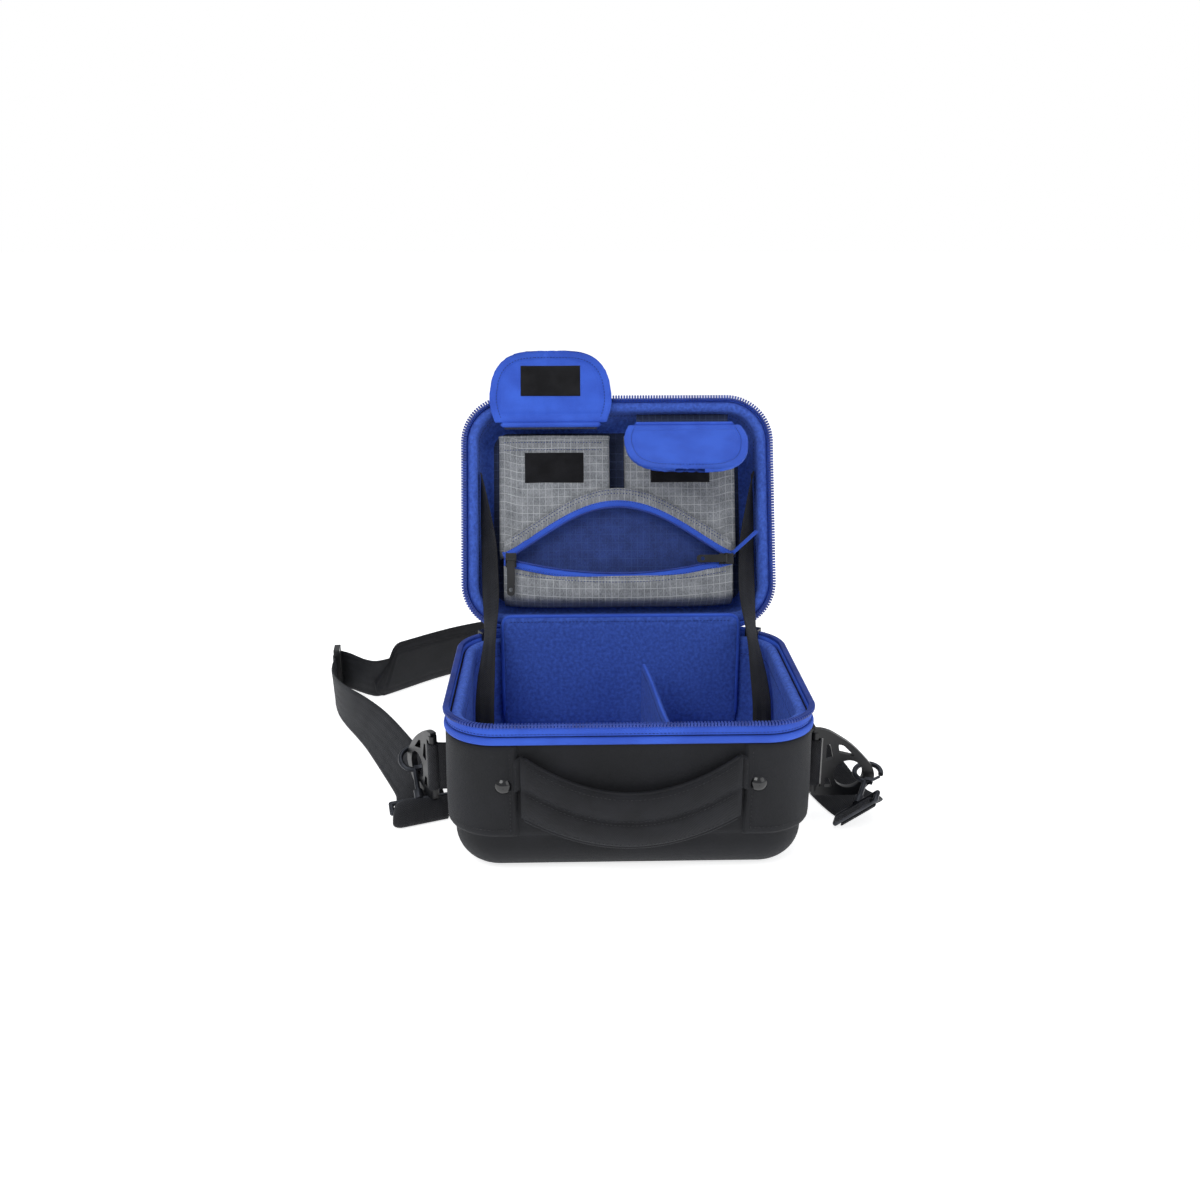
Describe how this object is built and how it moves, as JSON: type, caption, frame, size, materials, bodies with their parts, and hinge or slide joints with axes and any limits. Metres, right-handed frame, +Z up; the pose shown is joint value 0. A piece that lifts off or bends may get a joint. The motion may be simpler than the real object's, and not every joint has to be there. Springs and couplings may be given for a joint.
{
  "type": "carry case",
  "caption": "Open hard-shell zippered carry case with a blue padded interior, lid pockets, flaps, padded front handle, side rings and a shoulder strap",
  "frame": {"origin": "centre of the underside of the case", "axes": "+X right, -Y front (handle side), +Z up"},
  "size_m": [0.4741, 0.4594, 0.3384],
  "materials": {
    "shell_fabric": "Black woven nylon bonded over moulded foam",
    "lining_fabric": "Bright blue brushed knit over foam",
    "rim_fabric": "Bright blue woven tape and piping",
    "coil_nylon": "Blue nylon coil",
    "moulded_plastic": "Black moulded nylon, satin",
    "webbing": "Black woven nylon webbing",
    "padded_fabric": "Black padded nylon",
    "pocket_cloth": "Grey heathered ripstop with light grid lines",
    "flap_fabric": "Bright blue padded nylon, bound edge",
    "loop_patch": "Black hook-and-loop patch",
    "hook_metal": "Gunmetal plated zinc"
  },
  "bodies": {
    "case_base": {"base_shell": "shell_fabric", "base_lining": "lining_fabric", "base_piping": "rim_fabric", "base_zip_tape": "rim_fabric", "base_zip_coil": "coil_nylon", "hinge_web_base": "rim_fabric", "side_panel_left": "shell_fabric", "side_panel_right": "shell_fabric", "rivets": "moulded_plastic", "handle_anchors": "webbing", "rear_panel": "lining_fabric", "zip_sliders": "moulded_plastic", "ring_loop_left": "webbing", "ring_loop_right": "webbing", "strap_left": "webbing", "strap_adjuster": "moulded_plastic", "strap_lead": "webbing", "shoulder_pad": "padded_fabric", "strap_rear": "webbing", "strap_end_left": "webbing", "strap_end_right": "webbing", "stay_left": "webbing", "stay_right": "webbing"},
    "lid": {"lid_shell": "shell_fabric", "lid_lining": "lining_fabric", "lid_piping": "rim_fabric", "lid_zip_tape": "rim_fabric", "lid_zip_coil": "coil_nylon", "hinge_web_lid": "rim_fabric", "left_pocket": "pocket_cloth", "right_pocket": "pocket_cloth", "pocket_patches": "loop_patch", "left_flap_neck": "flap_fabric", "right_flap_neck": "flap_fabric", "zip_pocket": "pocket_cloth", "zip_pocket_top": "pocket_cloth", "pocket_zip": "rim_fabric", "pocket_sliders": "moulded_plastic", "pocket_tab": "rim_fabric"},
    "left_flap_body": {"left_crease": "flap_fabric", "left_flap": "flap_fabric", "left_flap_patch": "loop_patch"},
    "right_flap_body": {"right_crease": "flap_fabric", "right_flap": "flap_fabric", "right_flap_patch": "loop_patch"},
    "cover": {"cover_flap": "lining_fabric"},
    "divider_body": {"divider": "lining_fabric"},
    "handle_body": {"handle": "padded_fabric"},
    "ring_left_body": {"ring_left": "moulded_plastic", "hook_left": "hook_metal"},
    "ring_right_body": {"ring_right": "moulded_plastic", "hook_right": "hook_metal"},
    "gate_left_body": {"gate_left": "hook_metal"},
    "gate_right_body": {"gate_right": "hook_metal"},
    "zip_pull_left_body": {"zip_pull_left": "moulded_plastic"},
    "zip_pull_right_body": {"zip_pull_right": "moulded_plastic"},
    "pocket_pull_left_body": {"pocket_pull_left": "moulded_plastic"},
    "pocket_pull_right_body": {"pocket_pull_right": "moulded_plastic"}
  },
  "joints": [
    {"name": "lid_fold", "type": "hinge", "parent": "case_base", "child": "lid", "pos_m": [0, 0.0985, 0.119], "axis": [-1, 0, 0], "range_deg": [-112, 0], "deforming": ["stay_left", "stay_right"]},
    {"name": "left_flap_turn", "type": "hinge", "parent": "lid", "child": "left_flap_body", "pos_m": [-0.056, 0.1595, 0.27932], "axis": [1, 0, 0], "range_deg": [0, 188]},
    {"name": "right_flap_turn", "type": "hinge", "parent": "lid", "child": "right_flap_body", "pos_m": [0.056, 0.1595, 0.27932], "axis": [1, 0, 0], "range_deg": [0, 49]},
    {"name": "cover_fold", "type": "hinge", "parent": "case_base", "child": "cover", "pos_m": [0, 0.08185, 0.108], "axis": [1, 0, 0], "range_deg": [0, 85]},
    {"name": "divider_lift", "type": "slide", "parent": "case_base", "child": "divider_body", "axis": [0, 0, 1], "range_m": [0, 0.06]},
    {"name": "handle_swing", "type": "hinge", "parent": "case_base", "child": "handle_body", "pos_m": [0, -0.1, 0.092], "axis": [-1, 0, 0], "range_deg": [0, 100]},
    {"name": "ring_left_swing", "type": "hinge", "parent": "case_base", "child": "ring_left_body", "pos_m": [-0.147, 0, 0.043], "axis": [0, 0, 1], "range_deg": [-15, 20], "deforming": ["strap_end_left"]},
    {"name": "ring_right_swing", "type": "hinge", "parent": "case_base", "child": "ring_right_body", "pos_m": [0.147, 0, 0.043], "axis": [0, 0, 1], "range_deg": [-20, 20], "deforming": ["strap_end_right"]},
    {"name": "gate_left_open", "type": "hinge", "parent": "ring_left_body", "child": "gate_left_body", "pos_m": [-0.16182, 0.02939, 0.02732], "axis": [0.1403, -0.5611, 0.8158], "range_deg": [0, 15], "stiffness_Nm_per_rad": 0.01},
    {"name": "gate_right_open", "type": "hinge", "parent": "ring_right_body", "child": "gate_right_body", "pos_m": [0.18969, -0.00962, 0.03026], "axis": [-0.1258, -0.2724, 0.9539], "range_deg": [0, 15], "stiffness_Nm_per_rad": 0.01},
    {"name": "zip_pull_left_swing", "type": "hinge", "parent": "case_base", "child": "zip_pull_left_body", "pos_m": [-0.1135, 0.09674, 0.114], "axis": [0.866, 0.5, 0], "range_deg": [0, 60]},
    {"name": "zip_pull_right_swing", "type": "hinge", "parent": "case_base", "child": "zip_pull_right_body", "pos_m": [0.1135, 0.09674, 0.114], "axis": [0.866, -0.5, 0], "range_deg": [0, 60]},
    {"name": "pocket_pull_left_swing", "type": "hinge", "parent": "lid", "child": "pocket_pull_left_body", "pos_m": [-0.09, 0.11809, 0.17364], "axis": [-1, 0, 0], "range_deg": [0, 60]},
    {"name": "pocket_pull_right_swing", "type": "hinge", "parent": "lid", "child": "pocket_pull_right_body", "pos_m": [0.09, 0.11809, 0.17364], "axis": [0, 0.3746, 0.9272], "range_deg": [0, 60]}
  ],
  "couplings": [
    {"joint": "left_flap_turn", "follows": "lid_fold", "ratio": -1.6786},
    {"joint": "right_flap_turn", "follows": "lid_fold", "ratio": -0.4375},
    {"joint": "cover_fold", "follows": "lid_fold", "ratio": -0.75893}
  ]
}
